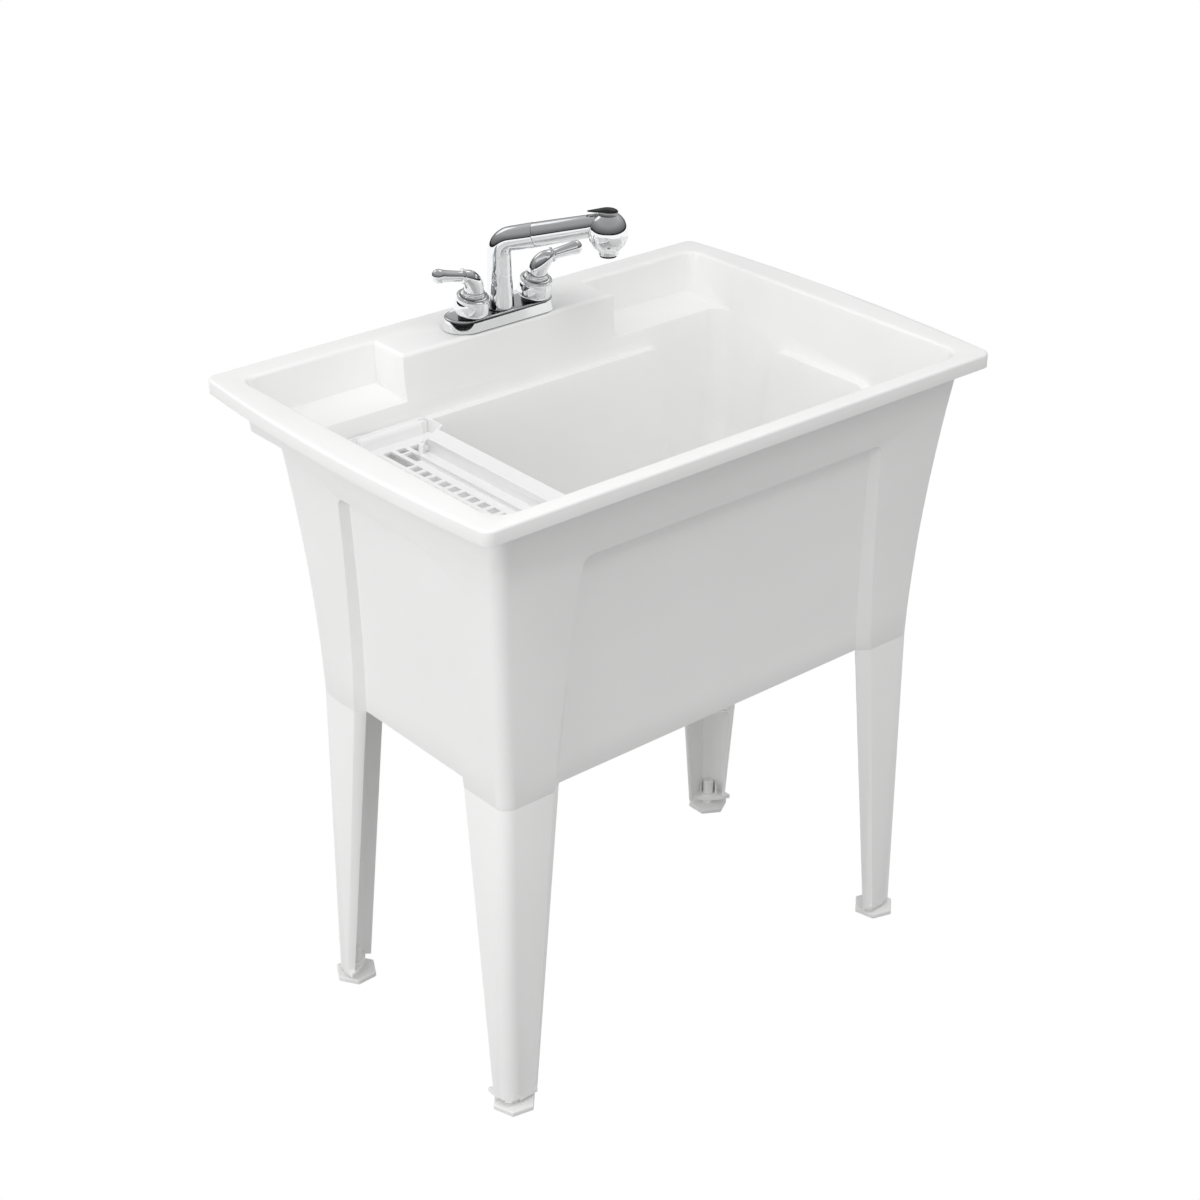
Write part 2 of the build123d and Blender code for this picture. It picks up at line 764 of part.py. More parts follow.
def make_tray():
    ledge = panel_top + wall + fit
    low = ledge + tray_wall - tray_depth
    top = ledge + tray_wall
    left = -(half_width(low) - wall - tray_gap)
    back = back_reach(low) - wall - tray_gap
    front = -(front_reach(low) - wall - tray_gap)
    band_left = tray_right - tray_band
    tray_lobe_right = tray_right + tray_lobe
    tray_ridge_right = tray_right - tray_ridge_inset
    tray_hump_left = tray_right - tray_hump_length
    tray_lobe_front = body_back - tray_lobe_setback
    tray_partition_end = body_back - tray_partition_setback
    tray_ridge_end = body_back - tray_ridge_setback

    # outer plan, with the small lobe at the back right
    plan = make_face(Polyline(
        (left, front),
        (tray_right, front),
        (tray_right, tray_partition_end),
        (tray_lobe_right, tray_lobe_front),
        (tray_lobe_right, back),
        (left, back),
        close=True,
    ))
    round_left = plan.vertices().sort_by(Axis.X)[:2]
    plan = fillet(round_left, tray_corner_radius)
    round_lobe = plan.vertices().sort_by_distance(Vector(tray_lobe_right, back, 0))[0]
    plan = fillet(round_lobe, tray_corner_radius / 3)
    tray = Pos(0, 0, low) * extrude(plan, tray_depth)

    # basin left of the ridge, running on to the lobe at the back
    basin = make_face(Polyline(
        (left + tray_wall, front + tray_wall),
        (tray_ridge_right - tray_ridge_width, front + tray_wall),
        (tray_ridge_right - tray_ridge_width, tray_ridge_end),
        (tray_right - tray_wall, tray_partition_end + tray_partition_wall),
        (tray_lobe_right - tray_wall, tray_lobe_front + tray_wall / 2),
        (tray_lobe_right - tray_wall, back - tray_wall),
        (left + tray_wall, back - tray_wall),
        close=True,
    ))
    round_left = basin.vertices().sort_by(Axis.X)[:2]
    basin = fillet(round_left, tray_corner_radius - tray_wall)
    channel = make_face(Polyline(
        (tray_ridge_right, front + tray_wall),
        (band_left - tray_wall, front + tray_wall),
        (band_left - tray_wall, tray_partition_end - 10),
        (tray_ridge_right, tray_ridge_end),
        close=True,
    ))
    floor = low + tray_wall
    cut_height = tray_depth + 5
    tray = tray - Pos(0, 0, floor) * extrude(basin, cut_height)
    tray = tray - Pos(0, 0, floor) * extrude(channel, cut_height)

    # low ridge between basin and channel, and the partition that climbs to the band
    ridge_top = floor + tray_ridge_height
    ridge_cut = block(tray_ridge_right - tray_ridge_width - 1, tray_ridge_right + 1,
                      front + tray_wall, tray_ridge_end, ridge_top, top + 5)
    tray = tray - ridge_cut
    start = Vector(tray_ridge_right, tray_ridge_end, 0)
    finish = Vector(tray_right - tray_wall, tray_partition_end, 0)
    run = finish - start
    wedge = make_face(Polyline(
        (-4, ridge_top),
        (0, ridge_top),
        (run.length, top),
        (run.length, top + 10),
        (-4, top + 10),
        close=True,
    ))
    across = run.cross(Vector(0, 0, 1)).normalized()
    plane = Plane(origin=start - across * 4, x_dir=run.normalized(), z_dir=across)
    tray = tray - extrude(plane * wedge, -2 * tray_wall)

    # room for the ledges under the back, front and left edges
    ledge_back = back_reach(ledge) - wall - panel_depth - fit
    ledge_front = -(front_reach(ledge) - wall - panel_depth - fit)
    ledge_left = -(half_width(ledge) - wall - panel_depth - fit)
    reach = tray_hump_left + tray_wall
    side_reach = side_panel_high + panel_corner_radius + wall
    side_middle = side_panel_centre_high
    notches = [
        block(reach, tray_lobe_right + 20, ledge_back - 2, back + 20, low - 1, ledge),
        block(reach, tray_lobe_right + 20, front - 20, ledge_front + 2, low - 1, ledge),
        block(left - 20, ledge_left + 2, side_middle - side_reach, side_middle + side_reach, low - 1, ledge),
    ]
    pads = [
        block(tray_hump_left, tray_lobe_right - tray_hump_overlap,
              ledge_back - 2 - tray_wall, back, floor, top),
        block(tray_hump_left, tray_right - 1, front, ledge_front + 2 + tray_wall, floor, top),
        block(left, ledge_left + 2 + tray_wall, side_middle - side_reach - tray_wall,
              side_middle + side_reach + tray_wall, floor, top),
    ]
    for pad in pads:
        uprights = pad.edges().filter_by(Axis.Z)
        pad = fillet(uprights, tray_hump_round)
        pad = fillet(pad.faces().sort_by(Axis.Z)[-1].edges(), tray_hump_round - 0.5)
        tray = tray + pad
    for notch in notches:
        tray = tray - notch

    # under the band the tray is open, with a lip along its edge
    open_band = block(band_left, tray_right - tray_wall, ledge_front + 2 + tray_wall,
                      tray_partition_end - 12, low - 1, ledge)
    tray = tray - open_band
    lip_cut = block(tray_right - tray_wall - 1, tray_right + 1, front - 1, tray_partition_end - 12,
                    low - 1, top - tray_band_lip)
    tray = tray - lip_cut

    # drainage holes: square ones in rows, long slots at the back, a few short ones in the lobe
    holes = []
    first_x = tray_right - tray_hole_inset
    first_y = body_back - tray_row_setback
    slot_end = body_back - tray_slot_setback
    clear_x = ledge_left + 2 + tray_wall + tray_hole
    clear_y = ledge_front + 2 + tray_wall
    columns = int((first_x - tray_hole / 2 - clear_x) / tray_pitch) + 1
    rows = int((first_y - tray_hole / 2 - clear_y) / tray_pitch) + 1
    for column in range(columns):
        x = first_x - tray_pitch * column
        for row in range(rows):
            holes.append((x, first_y - tray_pitch * row, tray_hole))
        holes.append((x, slot_end - tray_long_slot / 2, tray_long_slot))
    for column, inset, long in (
        (1, lobe_hole_inset, tray_hole),
        (1, lobe_hole_inset + 23.5, tray_short_slot),
        (2, lobe_hole_inset + 9.5, tray_short_slot),
        (3, lobe_hole_inset - 1.0, tray_hole),
    ):
        holes.append((first_x + tray_pitch * column, slot_end - inset, long))
    cutters = []
    for x, y, long in holes:
        cutter = block(x - tray_hole / 2, x + tray_hole / 2, y - long / 2, y + long / 2, low - 1, floor + 1)
        cutters.append(cutter)
    return tray - cutters


# ======== faucet ========

def valve_x(side):
    return side * valve_spacing / 2


def leaning(side):
    """Place on a valve for a piece drawn upright about the origin: handles lean forward."""
    return Pos(valve_x(side), valve_y, base_top) * Rot(handle_tilt, 0, 0) * Pos(0, 0, -base_top)


def above(height):
    return block(-500, 500, -500, 500, height, height + 500)


def make_faucet_base():
    low = rim_top + gasket_thickness
    outline = SlotOverall(base_length, base_width)
    shell = Pos(0, base_y, low) * extrude(outline, base_height, taper=base_draft)
    top_edges = shell.faces().sort_by(Axis.Z)[-1].edges()
    shell = fillet(top_edges, 1.2)
    dish = Pos(0, base_y, base_top - dish_depth) * SlotOverall(base_length - 12, base_width - 12)
    shell = shell - extrude(dish, 5)
    inner = Pos(0, base_y, low - 1) * SlotOverall(base_length - 2 * base_wall, base_width - 2 * base_wall)
    shell = shell - extrude(inner, base_height + 1 - base_wall, taper=base_draft)
    for side in (-1, 1):
        x = valve_x(side)
        boss_top = base_top - base_wall
        shell = shell + rod(shank_radius + base_wall, low, boss_top + 0.5, x, valve_y)
        shell = shell - rod(shank_radius + thread_fit, low - 1, boss_top, x, valve_y)
        shell = shell - rod(bonnet_radius - 3 + thread_fit, low, base_top + 1, x, valve_y)
        seat = leaning(side) * rod(bell_foot_radius + fit, base_top - 8, base_top + 8)
        shell = shell - (seat & above(base_top - dish_depth))
    neck = tube(spout_bore - running_fit, post_bore, base_top - 1.5, base_top + post_height, 0, faucet_y)
    return shell + neck


def make_faucet_gasket():
    outline = SlotOverall(base_length - 4, base_width - 4)
    gasket = Pos(0, base_y, rim_top) * extrude(outline, gasket_thickness)
    for side in (-1, 1):
        gasket = gasket - rod(deck_hole_radius, rim_top - 1, rim_top + 5, valve_x(side), valve_y)
    return gasket


def make_valve(side):
    """Valve body: threaded shank below the deck, bonnet above the base."""
    x = valve_x(side)
    shank_top = base_top - base_wall - 0.05
    valve = tube(shank_radius, shank_bore, shank_top - shank_length, shank_top - 6, x, valve_y)
    valve = valve + rod(shank_radius, shank_top - 8, shank_top, x, valve_y)
    valve = valve + rod(bonnet_radius - 3, shank_top - 1, base_top + 1, x, valve_y)
    bonnet_top = base_top + bonnet_height
    bonnet = leaning(side) * rod(bonnet_radius, base_top - 5, bonnet_top)
    valve = valve + (bonnet & above(base_top))
    stem_low = bonnet_top - stem_engagement
    valve = valve - leaning(side) * rod(stem_radius + running_fit, stem_low - fit, bonnet_top + 1)
    relief_top = rim_top - wall - shank_nut_height
    relief_low = relief_top - groove_width
    return valve - tube(shank_radius + 1, shank_radius - groove_depth, relief_low, relief_top, x, valve_y)


def make_shank_nuts():
    nuts = []
    high = rim_top - wall
    for side in (-1, 1):
        x = valve_x(side)
        nut = Pos(x, valve_y, high - shank_nut_height) * extrude(
            RegularPolygon(shank_nut_radius, 6) - Circle(shank_radius + thread_fit), shank_nut_height)
        nuts.append(nut)
    return Compound(children=nuts)


def make_bell_feet():
    rings = []
    for side in (-1, 1):
        ring = tube(bell_foot_radius, bonnet_radius + fit, base_top - 8, base_top + bell_foot_height)
        rings.append(leaning(side) * ring & above(base_top - dish_depth))
    return Compound(children=rings)


def turned(profile):
    """Solid of revolution about the upright axis from a list of (radius, height)."""
    face = make_face(Polyline(*profile, close=True))
    return revolve(Plane.XZ * face, Axis.Z, 360)


bell_low = base_top + bell_foot_height + fit
bell_top = bell_low + bell_height
cap_top = bell_top + cap_height


def make_bell(side):
    """Hollow bell with a domed, stepped cap that turns with the lever."""
    r0 = bell_radius
    r1 = bell_top_radius
    outline = [
        (r0 - 3.0, bell_low),
        (r0 - 0.8, bell_low + 1.5),
        (r0, bell_low + 5.0),
        (r0 - 0.6, bell_low + 10.0),
        (r1 - 0.6, bell_top - 4.0),
        (r1, bell_top - 2.0),
        (r1, bell_top),
        (r1 - 2.4, bell_top + 1.0),
        (r1 - 2.8, bell_top + 3.0),
        (r1 - 4.2, bell_top + 4.6),
        (r1 - 5.6, cap_top - 1.6),
        (horn_radius, cap_top),
        (stem_radius + thread_fit, cap_top),
        (stem_radius + thread_fit, bell_top - bell_wall),
        (r1 - 2.6 - bell_wall, bell_top - bell_wall),
        (r1 - 0.6 - bell_wall, bell_top - 4.0),
        (r0 - 0.6 - bell_wall, bell_low + 10.0),
        (r0 - bell_wall, bell_low + 5.0),
        (r0 - 3.4, bell_low),
    ]
    return leaning(side) * turned(outline)


def make_stem(side):
    low = base_top + bonnet_height - stem_engagement
    return leaning(side) * rod(stem_radius, low, cap_top + 8)


def make_lever(side, heading):
    """Horn that leans out over the bell, collar, lever rod and ball end."""
    sweep_angle = 80.0
    full_x = 1 - math.cos(math.radians(sweep_angle))
    full_z = math.sin(math.radians(sweep_angle))
    sections = []
    radii = (horn_radius, 12.0, 10.6, 8.8, lever_root_radius + 0.6)
    for i, radius in enumerate(radii):
        angle = math.radians(sweep_angle * i / (len(radii) - 1))
        x = collar_reach * (1 - math.cos(angle)) / full_x
        z = cap_top + horn_height * math.sin(angle) / full_z
        lean = Vector(collar_reach * math.sin(angle) / full_x, 0, horn_height * math.cos(angle) / full_z)
        plane = Plane(origin=(x, 0, z), x_dir=(0, 1, 0), z_dir=lean.normalized())
        sections.append(plane * Circle(radius))
    lever = loft(sections)
    rise = math.radians(lever_rise)
    along = Vector(math.cos(rise), 0, math.sin(rise))
    tip = Vector(collar_reach, 0, cap_top + horn_height)
    collar = Plane(origin=tip - along * collar_thickness, x_dir=(0, 1, 0), z_dir=along)
    collar_solid = extrude(collar * Circle(collar_radius), 1.6 * collar_thickness)
    collar_solid = fillet(collar_solid.edges().filter_by(GeomType.CIRCLE), collar_thickness / 2.2)
    lever = lever + collar_solid
    root = Plane(origin=tip, x_dir=(0, 1, 0), z_dir=along)
    end = Plane(origin=tip + along * lever_length, x_dir=(0, 1, 0), z_dir=along)
    lever = lever + loft([root * Circle(lever_root_radius), end * Circle(lever_tip_radius)])
    ball_centre = tip + along * (lever_length - lever_ball_radius / 3)
    lever = lever + Pos(ball_centre) * Sphere(lever_ball_radius)
    lever = lever - rod(stem_radius + thread_fit, cap_top - 5, cap_top + 8.5)
    return leaning(side) * Rot(0, 0, heading) * lever


# ======== spout and wand ========

arm_heading = math.radians(spout_heading)
arm_rise = math.radians(spout_rise)
arm_along = Vector(
    math.cos(arm_heading) * math.cos(arm_rise),
    math.sin(arm_heading) * math.cos(arm_rise),
    math.sin(arm_rise),
)
arm_side = Vector(-math.sin(arm_heading), math.cos(arm_heading), 0)
arm_up = arm_along.cross(arm_side)
knee = Vector(0, faucet_y, spout_knee)
head_centre = knee + arm_along * head_reach - arm_up * head_drop


def arm_plane(distance):
    return Plane(origin=knee + arm_along * distance, x_dir=arm_side, z_dir=arm_along)


def arm_rod(radius, start, finish):
    return extrude(arm_plane(start) * Circle(radius), finish - start)


def make_spout():
    low = base_top + fit
    finish = wand_start - wand_seam
    foot = Vector(0, faucet_y, low)
    outer_path = FilletPolyline(foot, knee, knee + arm_along * finish, radius=spout_bend)
    spout = sweep(Plane(origin=foot, z_dir=(0, 0, 1)) * Circle(spout_radius), path=outer_path)
    skirt = Pos(0, faucet_y, low + spout_foot_height / 2)
    spout = spout + skirt * Cone(spout_foot_radius, spout_radius, spout_foot_height)
    bore_start = foot - Vector(0, 0, 1)
    bore_path = FilletPolyline(bore_start, knee, knee + arm_along * (finish + 1), radius=spout_bend)
    bore = sweep(Plane(origin=bore_start, z_dir=(0, 0, 1)) * Circle(spout_bore), path=bore_path)
    return spout - bore


def head_ball(radius):
    return Pos(head_centre) * scale(Sphere(radius), by=(1, 1, head_stretch))


def button_profile(grow, travel):
    """Side view of the thumb button: tail towards the arm, flat underside."""
    low = button_underside
    high = button_crown
    points = [
        (0, low - grow - travel),
        (-button_tail - grow, low - 5.5 - grow - travel),
        (-button_tail - grow, low - 3.6 + grow),
        (-button_radius, high - 2.2 + grow),
        (0, high - 2.2 + grow),
    ]
    plane = Plane(origin=head_centre, x_dir=(math.cos(arm_heading), math.sin(arm_heading), 0),
                  z_dir=(math.sin(arm_heading), -math.cos(arm_heading), 0))
    return extrude(plane * make_face(Polyline(*points, close=True)), button_tail_width / 2 + grow, both=True)


def make_button():
    disc = rod(button_radius, button_underside, button_crown)
    disc = fillet(disc.edges().sort_by(Axis.Z)[-1], 3.5)
    disc = Pos(head_centre) * disc
    return disc + button_profile(0, 0)


def button_room():
    room = rod(button_radius + button_gap, button_underside - button_travel - button_gap, button_crown + 20)
    return Pos(head_centre) * room + button_profile(button_gap, button_travel)


def make_wand():
    """Sleeve with its plug, ball head, spray plate and thumb button."""
    shell = head_ball(head_radius)
    collar = Pos(head_centre) * rod(spray_radius, -spray_length, 0)
    cavity = Pos(head_centre) * Sphere(head_cavity_radius)
    mouth = Pos(head_centre) * rod(spray_radius - 2, -spray_length - 1, 0)
    inlet = arm_rod(wand_bore, wand_end - 10, head_reach)
    room = button_room()
    head = shell + collar - cavity - mouth - inlet - room

    taper_end = wand_end + 10
    root = arm_plane(wand_start) * Circle(spout_radius)
    end = arm_plane(taper_end) * Circle(wand_tip_radius)
    sleeve = loft([root, end])
    plug = arm_rod(spout_bore - running_fit, wand_start - wand_plug_length, wand_start + 1)
    sleeve = sleeve + plug - arm_rod(wand_bore, wand_start - wand_plug_length - 1, taper_end + 1)
    sleeve = sleeve - head_ball(head_radius) - room

    plate_low = -spray_length + 0.5
    plate = rod(spray_radius - 2 - thread_fit, plate_low, plate_low + spray_plate_thickness)
    holes = []
    for count, radius in ((1, 0.0), (6, 4.0), (10, 7.6)):
        for i in range(count):
            angle = 2 * math.pi * i / count
            x = radius * math.cos(angle)
            y = radius * math.sin(angle)
            holes.append(rod(nozzle_radius, plate_low - 1, 0, x, y))
    plate = Pos(head_centre) * (plate - holes)
    return head, sleeve, plate


os.makedirs("parts", exist_ok=True)
nodes = {}
nodes["tub"] = make_tub()
for name, side, end in (("front_left", -1, -1), ("front_right", 1, -1),
                        ("back_left", -1, 1), ("back_right", 1, 1)):
    nodes["leg_" + name] = make_leg(side, end)
    nodes["foot_" + name] = make_foot(side, end, foot_turns[name])
nodes["leg_screws"] = make_leg_screws()
drain = make_drain()
nodes["strainer_body"] = drain[0]
nodes["drain_gasket"] = drain[1]
nodes["drain_friction_ring"] = drain[2]
nodes["drain_lock_nut"] = drain[3]
nodes["slip_washer"] = drain[4]
nodes["tailpiece"] = drain[5]
nodes["slip_nut"] = drain[6]
nodes["strainer_basket"], nodes["strainer_plug"] = make_basket()
nodes["tray"] = make_tray()
nodes["faucet_gasket"] = make_faucet_gasket()
nodes["faucet_base"] = make_faucet_base()
nodes["shank_nuts"] = make_shank_nuts()
nodes["bell_feet"] = make_bell_feet()
for name, side, heading in (("left", -1, left_handle_heading), ("right", 1, right_handle_heading)):
    nodes["valve_" + name] = make_valve(side)
    nodes["stem_" + name] = make_stem(side)
    nodes["bell_" + name] = make_bell(side)
    nodes["lever_" + name] = make_lever(side, heading)
nodes["spout"] = make_spout()
nodes["spray_head"], nodes["wand_sleeve"], nodes["spray_plate"] = make_wand()
nodes["spray_button"] = make_button()

for name, piece in nodes.items():
    export_step(piece, "parts/" + name + ".step")
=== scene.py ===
import bpy
import bmesh
import math
from mathutils import Matrix, Vector


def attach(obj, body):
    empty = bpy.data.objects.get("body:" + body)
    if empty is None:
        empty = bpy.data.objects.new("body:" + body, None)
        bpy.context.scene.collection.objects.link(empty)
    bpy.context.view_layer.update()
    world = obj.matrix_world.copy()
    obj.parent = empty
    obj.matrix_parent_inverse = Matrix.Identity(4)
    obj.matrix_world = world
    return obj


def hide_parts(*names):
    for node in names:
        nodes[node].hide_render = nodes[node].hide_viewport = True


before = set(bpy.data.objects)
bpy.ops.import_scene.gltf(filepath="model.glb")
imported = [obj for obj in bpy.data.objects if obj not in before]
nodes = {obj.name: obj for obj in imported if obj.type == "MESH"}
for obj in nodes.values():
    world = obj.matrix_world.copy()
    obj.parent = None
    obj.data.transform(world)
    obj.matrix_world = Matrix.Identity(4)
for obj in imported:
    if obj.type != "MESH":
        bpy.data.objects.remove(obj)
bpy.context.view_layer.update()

# ---------------------------------------------------------------------------
# Camera, floor and light. The camera looks down over the front left corner. The floor is
# plain and pale. Three soft lamps and a pale room light the sink, while polished metal
# mirrors a grey studio with a dark skirting and two bright windows.
camera_data = bpy.data.cameras.new("camera")
camera_data.lens = 67.66
camera_data.sensor_width = 36.0
camera_data.clip_end = 50.0
camera = bpy.data.objects.new("camera", camera_data)
bpy.context.scene.collection.objects.link(camera)
camera.location = (-1.65573, -1.96270, 1.87753)
camera_look = Vector((0.5685, 0.6762, -0.4685))
camera.rotation_euler = camera_look.to_track_quat("-Z", "Y").to_euler()
bpy.context.scene.camera = camera
bpy.context.scene.view_settings.view_transform = "Standard"


def shader_node(tree, kind, operation=None, inputs=None):
    """Adds a shader node, with its operation and the inputs that nothing is linked to."""
    node = tree.nodes.new("ShaderNode" + kind)
    if operation:
        node.operation = operation
    for socket, value in (inputs or {}).items():
        node.inputs[socket].default_value = value
    return node


bpy.ops.object.select_all(action="DESELECT")
bpy.ops.mesh.primitive_plane_add(size=40.0, location=(0.0, 0.0, 0.0))
floor = bpy.context.object
floor.name = "floor"
floor_finish = bpy.data.materials.new("floor_pale")
floor_finish.use_nodes = True
floor_tree = floor_finish.node_tree
floor_link = floor_tree.links.new
floor_shader = floor_tree.nodes["Principled BSDF"]
floor_shader.inputs["Base Color"].default_value = (0.42, 0.42, 0.42, 1.0)
floor_shader.inputs["Roughness"].default_value = 0.9
floor_shader.inputs["Specular IOR Level"].default_value = 0.0
white = (1.0, 1.0, 1.0, 1.0)
floor_white = shader_node(floor_tree, "Emission", inputs={"Color": white, "Strength": 1.0})
floor_ray = shader_node(floor_tree, "LightPath")
floor_shown = shader_node(floor_tree, "Math", "MAXIMUM")
floor_mix = shader_node(floor_tree, "MixShader")
floor_link(floor_ray.outputs["Is Camera Ray"], floor_shown.inputs[0])
floor_link(floor_ray.outputs["Is Glossy Ray"], floor_shown.inputs[1])
floor_link(floor_shown.outputs[0], floor_mix.inputs["Fac"])
floor_link(floor_shader.outputs["BSDF"], floor_mix.inputs[1])
floor_link(floor_white.outputs["Emission"], floor_mix.inputs[2])
floor_link(floor_mix.outputs["Shader"], floor_tree.nodes["Material Output"].inputs["Surface"])
floor.data.materials.append(floor_finish)


def grey(value):
    return (value, value, value, 1.0)


room = bpy.data.worlds.new("room")
bpy.context.scene.world = room
room.use_nodes = True
room_tree = room.node_tree
room_link = room_tree.links.new
soft_room = room_tree.nodes["Background"]
soft_room.inputs["Color"].default_value = white
soft_room.inputs["Strength"].default_value = 0.68
studio = shader_node(room_tree, "Background")
ray = shader_node(room_tree, "TexCoord")
away_from_camera = (0.6435, 0.7654, 0.0)
across = shader_node(room_tree, "VectorMath", "DOT_PRODUCT", {1: away_from_camera})
room_link(ray.outputs["Generated"], across.inputs[0])
half = shader_node(room_tree, "Math", "MULTIPLY_ADD", {1: 0.5, 2: 0.5})
room_link(across.outputs["Value"], half.inputs[0])
walls = shader_node(room_tree, "ValToRGB")
walls.color_ramp.elements[0].position = 0.15
walls.color_ramp.elements[0].color = (0.30, 0.30, 0.305, 1.0)
walls.color_ramp.elements[1].position = 1.0
walls.color_ramp.elements[1].color = grey(0.62)
middle = walls.color_ramp.elements.new(0.55)
middle.color = (0.36, 0.36, 0.365, 1.0)
room_link(half.outputs[0], walls.inputs["Fac"])
shade = walls.outputs["Color"]
for direction, inner, outer in (
    ((-0.071, 0.826, 0.559), 0.970, 0.955),
    ((0.520, 0.213, 0.826), 0.975, 0.962),
):
    near = shader_node(room_tree, "VectorMath", "DOT_PRODUCT", {1: direction})
    edge = shader_node(room_tree, "MapRange", inputs={"From Min": outer, "From Max": inner})
    window = shader_node(room_tree, "Mix")
    window.data_type = "RGBA"
    window.inputs["B"].default_value = grey(1.1)
    room_link(ray.outputs["Generated"], near.inputs[0])
    room_link(near.outputs["Value"], edge.inputs["Value"])
    room_link(edge.outputs["Result"], window.inputs["Factor"])
    room_link(shade, window.inputs["A"])
    shade = window.outputs["Result"]
height = shader_node(room_tree, "SeparateXYZ")
room_link(ray.outputs["Generated"], height.inputs["Vector"])
skirting = shader_node(room_tree, "ValToRGB")
skirting.color_ramp.elements[0].position = 0.02
skirting.color_ramp.elements[1].position = 0.65
for position, brightness in ((0.05, 0.04), (0.09, 0.25)):
    stop = skirting.color_ramp.elements.new(position)
    stop.color = grey(brightness)
room_link(height.outputs["Z"], skirting.inputs["Fac"])
skirt = shader_node(room_tree, "Mix")
skirt.data_type = "RGBA"
skirt.inputs["A"].default_value = grey(0.01)
room_link(skirting.outputs["Color"], skirt.inputs["Factor"])
room_link(shade, skirt.inputs["B"])
room_link(skirt.outputs["Result"], studio.inputs["Color"])
room_ray = shader_node(room_tree, "LightPath")
room_mix = shader_node(room_tree, "MixShader")
room_link(room_ray.outputs["Is Glossy Ray"], room_mix.inputs["Fac"])
room_link(soft_room.outputs["Background"], room_mix.inputs[1])
room_link(studio.outputs["Background"], room_mix.inputs[2])
room_link(room_mix.outputs["Shader"], room_tree.nodes["World Output"].inputs["Surface"])

for name, place, aim, size, watts in (
    ("key_left", (-3.0, 0.0, 1.2), (0.0, 0.0, 0.6), 2.0, 22.0),
    ("key_high", (-2.2, 0.0, 2.6), (0.0, 0.0, 0.6), 2.0, 11.5),
    ("bowl", (-0.4, -1.2, 2.8), (0.0, 0.15, 0.6), 1.0, 14.0),
):
    lamp = bpy.data.lights.new(name, "AREA")
    lamp.shape = "RECTANGLE"
    lamp.size = size
    lamp.size_y = size
    lamp.energy = watts
    lamp_object = bpy.data.objects.new(name, lamp)
    bpy.context.scene.collection.objects.link(lamp_object)
    lamp_object.location = place
    towards = Vector(aim) - Vector(place)
    lamp_object.rotation_euler = towards.to_track_quat("-Z", "Y").to_euler()
    lamp_object.visible_glossy = False

# ---------------------------------------------------------------------------
# Tub. One injection-moulded piece of white resin with a fine moulded grain: rim, bowl with
# pressed panels, soap shelves, faucet deck and hollow columns. It stands on the legs, and
# the mould leaves every edge a little soft.
def resin_skin_group():
    """Shader group: an uneven tone and gloss, and a fine grain, from the object's place."""
    group = bpy.data.node_groups.new("resin_skin", "ShaderNodeTree")
    face = group.interface
    for name, way, kind in (
        ("Colour", "INPUT", "NodeSocketColor"),
        ("Mottle", "INPUT", "NodeSocketFloat"),
        ("Grain Scale", "INPUT", "NodeSocketFloat"),
        ("Roughness", "INPUT", "NodeSocketFloat"),
        ("Colour", "OUTPUT", "NodeSocketColor"),
        ("Roughness", "OUTPUT", "NodeSocketFloat"),
        ("Height", "OUTPUT", "NodeSocketFloat"),
    ):
        face.new_socket(name, in_out=way, socket_type=kind)
    link = group.links.new
    given = group.nodes.new("NodeGroupInput")
    made = group.nodes.new("NodeGroupOutput")
    place = shader_node(group, "TexCoord")
    cloud = shader_node(group, "TexNoise", inputs={"Scale": 9.0, "Detail": 3.0})
    tone_range = {"From Min": 0.3, "From Max": 0.7, "To Max": 1.0}
    tone = shader_node(group, "MapRange", inputs=tone_range)
    darkest = shader_node(group, "Math", "SUBTRACT", {0: 1.0})
    tint = shader_node(group, "VectorMath", "SCALE")
    grain = shader_node(group, "TexNoise", inputs={"Detail": 2.0})
    dull = shader_node(group, "Math", "MULTIPLY_ADD", {1: 0.10})
    link(place.outputs["Object"], cloud.inputs["Vector"])
    link(cloud.outputs["Fac"], tone.inputs["Value"])
    link(given.outputs["Mottle"], darkest.inputs[1])
    link(darkest.outputs[0], tone.inputs["To Min"])
    link(given.outputs["Colour"], tint.inputs[0])
    link(tone.outputs["Result"], tint.inputs["Scale"])
    link(tint.outputs["Vector"], made.inputs["Colour"])
    link(place.outputs["Object"], grain.inputs["Vector"])
    link(given.outputs["Grain Scale"], grain.inputs["Scale"])
    link(grain.outputs["Fac"], made.inputs["Height"])
    link(cloud.outputs["Fac"], dull.inputs[0])
    link(given.outputs["Roughness"], dull.inputs[2])
    link(dull.outputs[0], made.inputs["Roughness"])
    return group


resin_skin = resin_skin_group()


def moulded(name, colour, roughness, mottle, grain_scale, grain_height, gloss=0.35):
    """A moulded plastic or rubber: a little uneven in tone, with a fine grain."""
    finish = bpy.data.materials.new(name)
    finish.use_nodes = True
    tree = finish.node_tree
    link = tree.links.new
    shader = tree.nodes["Principled BSDF"]
    skin = tree.nodes.new("ShaderNodeGroup")
    skin.node_tree = resin_skin
    skin.inputs["Colour"].default_value = (*colour, 1.0)
    skin.inputs["Mottle"].default_value = mottle
    skin.inputs["Grain Scale"].default_value = grain_scale
    skin.inputs["Roughness"].default_value = roughness
    bump = shader_node(tree, "Bump", inputs={"Strength": 0.25, "Distance": grain_height})
    link(skin.outputs["Colour"], shader.inputs["Base Color"])
    link(skin.outputs["Roughness"], shader.inputs["Roughness"])
    link(skin.outputs["Height"], bump.inputs["Height"])
    link(bump.outputs["Normal"], shader.inputs["Normal"])
    shader.inputs["Specular IOR Level"].default_value = gloss
    return finish


